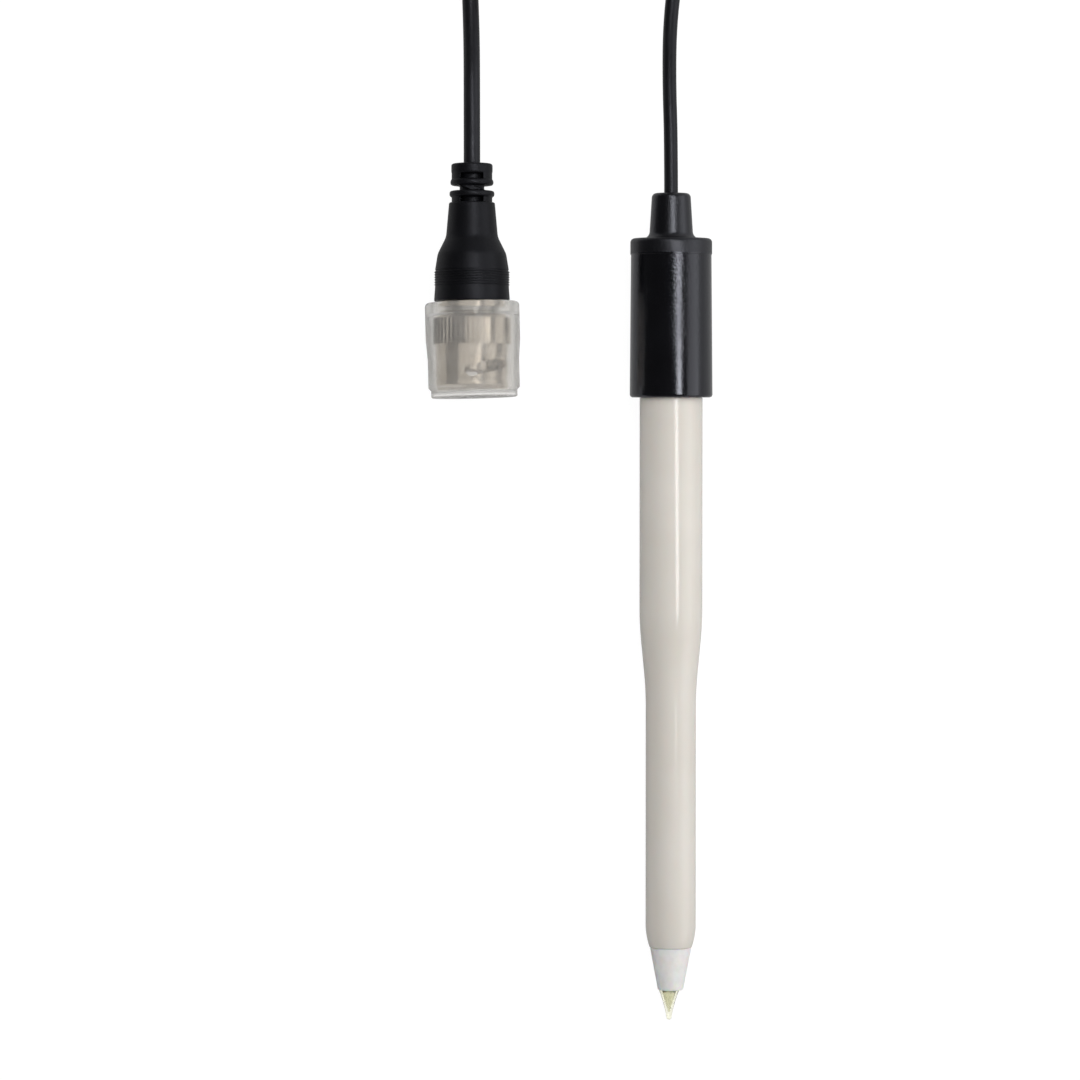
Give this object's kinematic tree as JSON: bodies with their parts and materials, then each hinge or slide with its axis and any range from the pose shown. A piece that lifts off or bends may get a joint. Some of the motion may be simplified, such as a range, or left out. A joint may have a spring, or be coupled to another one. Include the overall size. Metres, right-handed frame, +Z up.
{
  "type": "ph electrode",
  "caption": "Spear tip pH electrode with a stepped white body tube, black cap, coiled black lead and a bayonet plug under a frosted push-on cover.",
  "frame": {"origin": "on the surface that the electrode lies on, under the middle of the probe from its tip to the end of its cable neck", "axes": "+Z up, +Y along the probe from its tip towards its lead; the plug lies beside it on the -X side"},
  "size_m": [0.0548, 0.2509, 0.018],
  "materials": {
    "tube_plastic": "glossy moulded white plastic",
    "porous_plastic": "sintered porous white plastic",
    "ph_glass": "yellow-green pH glass",
    "gel": "potassium chloride gel",
    "silver": "drawn silver wire, chloride coated end",
    "stopper_rubber": "moulded rubber",
    "cap_plastic": "moulded black plastic, satin gloss",
    "crimp_metal": "tinned metal",
    "core_plastic": "extruded insulation",
    "cord_jacket": "extruded soft black jacket",
    "tie_plastic": "plastic coated wire",
    "boot_plastic": "moulded soft black plastic",
    "plated_metal": "nickel plated",
    "insulator_plastic": "turned fluoroplastic",
    "pin_metal": "gold plated",
    "gasket_rubber": "silicone rubber",
    "spring_metal": "stamped spring metal",
    "cover_plastic": "frosted soft plastic, see-through"
  },
  "bodies": {
    "electrode": {"body_tube": "tube_plastic", "junction_cone": "porous_plastic", "glass_spear": "ph_glass", "buffer_fill": "gel", "measuring_wire": "silver", "reference_wire": "silver", "inner_junction": "porous_plastic", "bridge_gel": "gel", "reference_gel": "gel", "tube_stopper": "stopper_rubber", "probe_cap": "cap_plastic", "crimp_ring": "crimp_metal", "core_lead": "core_plastic", "shield_lead": "crimp_metal", "cord_probe_run": "cord_jacket", "cord_coil": "cord_jacket", "cord_plug_run": "cord_jacket", "cord_tie": "tie_plastic", "relief_boot": "boot_plastic", "crimp_ferrule": "plated_metal", "plug_body": "plated_metal", "plug_braid": "crimp_metal", "plug_core": "core_plastic", "insulator": "insulator_plastic", "centre_pin": "pin_metal", "face_gasket": "gasket_rubber", "retaining_ring": "spring_metal", "spring_washer": "spring_metal"},
    "washer": {"thrust_washer": "spring_metal"},
    "nut": {"coupling_nut": "plated_metal"},
    "cover": {"plug_cover": "cover_plastic"}
  },
  "joints": [
    {"name": "washer_slide", "type": "slide", "parent": "electrode", "child": "washer", "axis": [0, -1, 0], "range_m": [0, 0.0008], "stiffness_N_per_m": 5000, "deforming": ["spring_washer"]},
    {"name": "nut_turn", "type": "hinge", "parent": "washer", "child": "nut", "pos_m": [-0.03796, 0.0583, 0.009], "axis": [0, -1, 0], "continuous": true},
    {"name": "cover_slide", "type": "slide", "parent": "electrode", "child": "cover", "axis": [0, -1, 0], "range_m": [0, 0.022]}
  ]
}
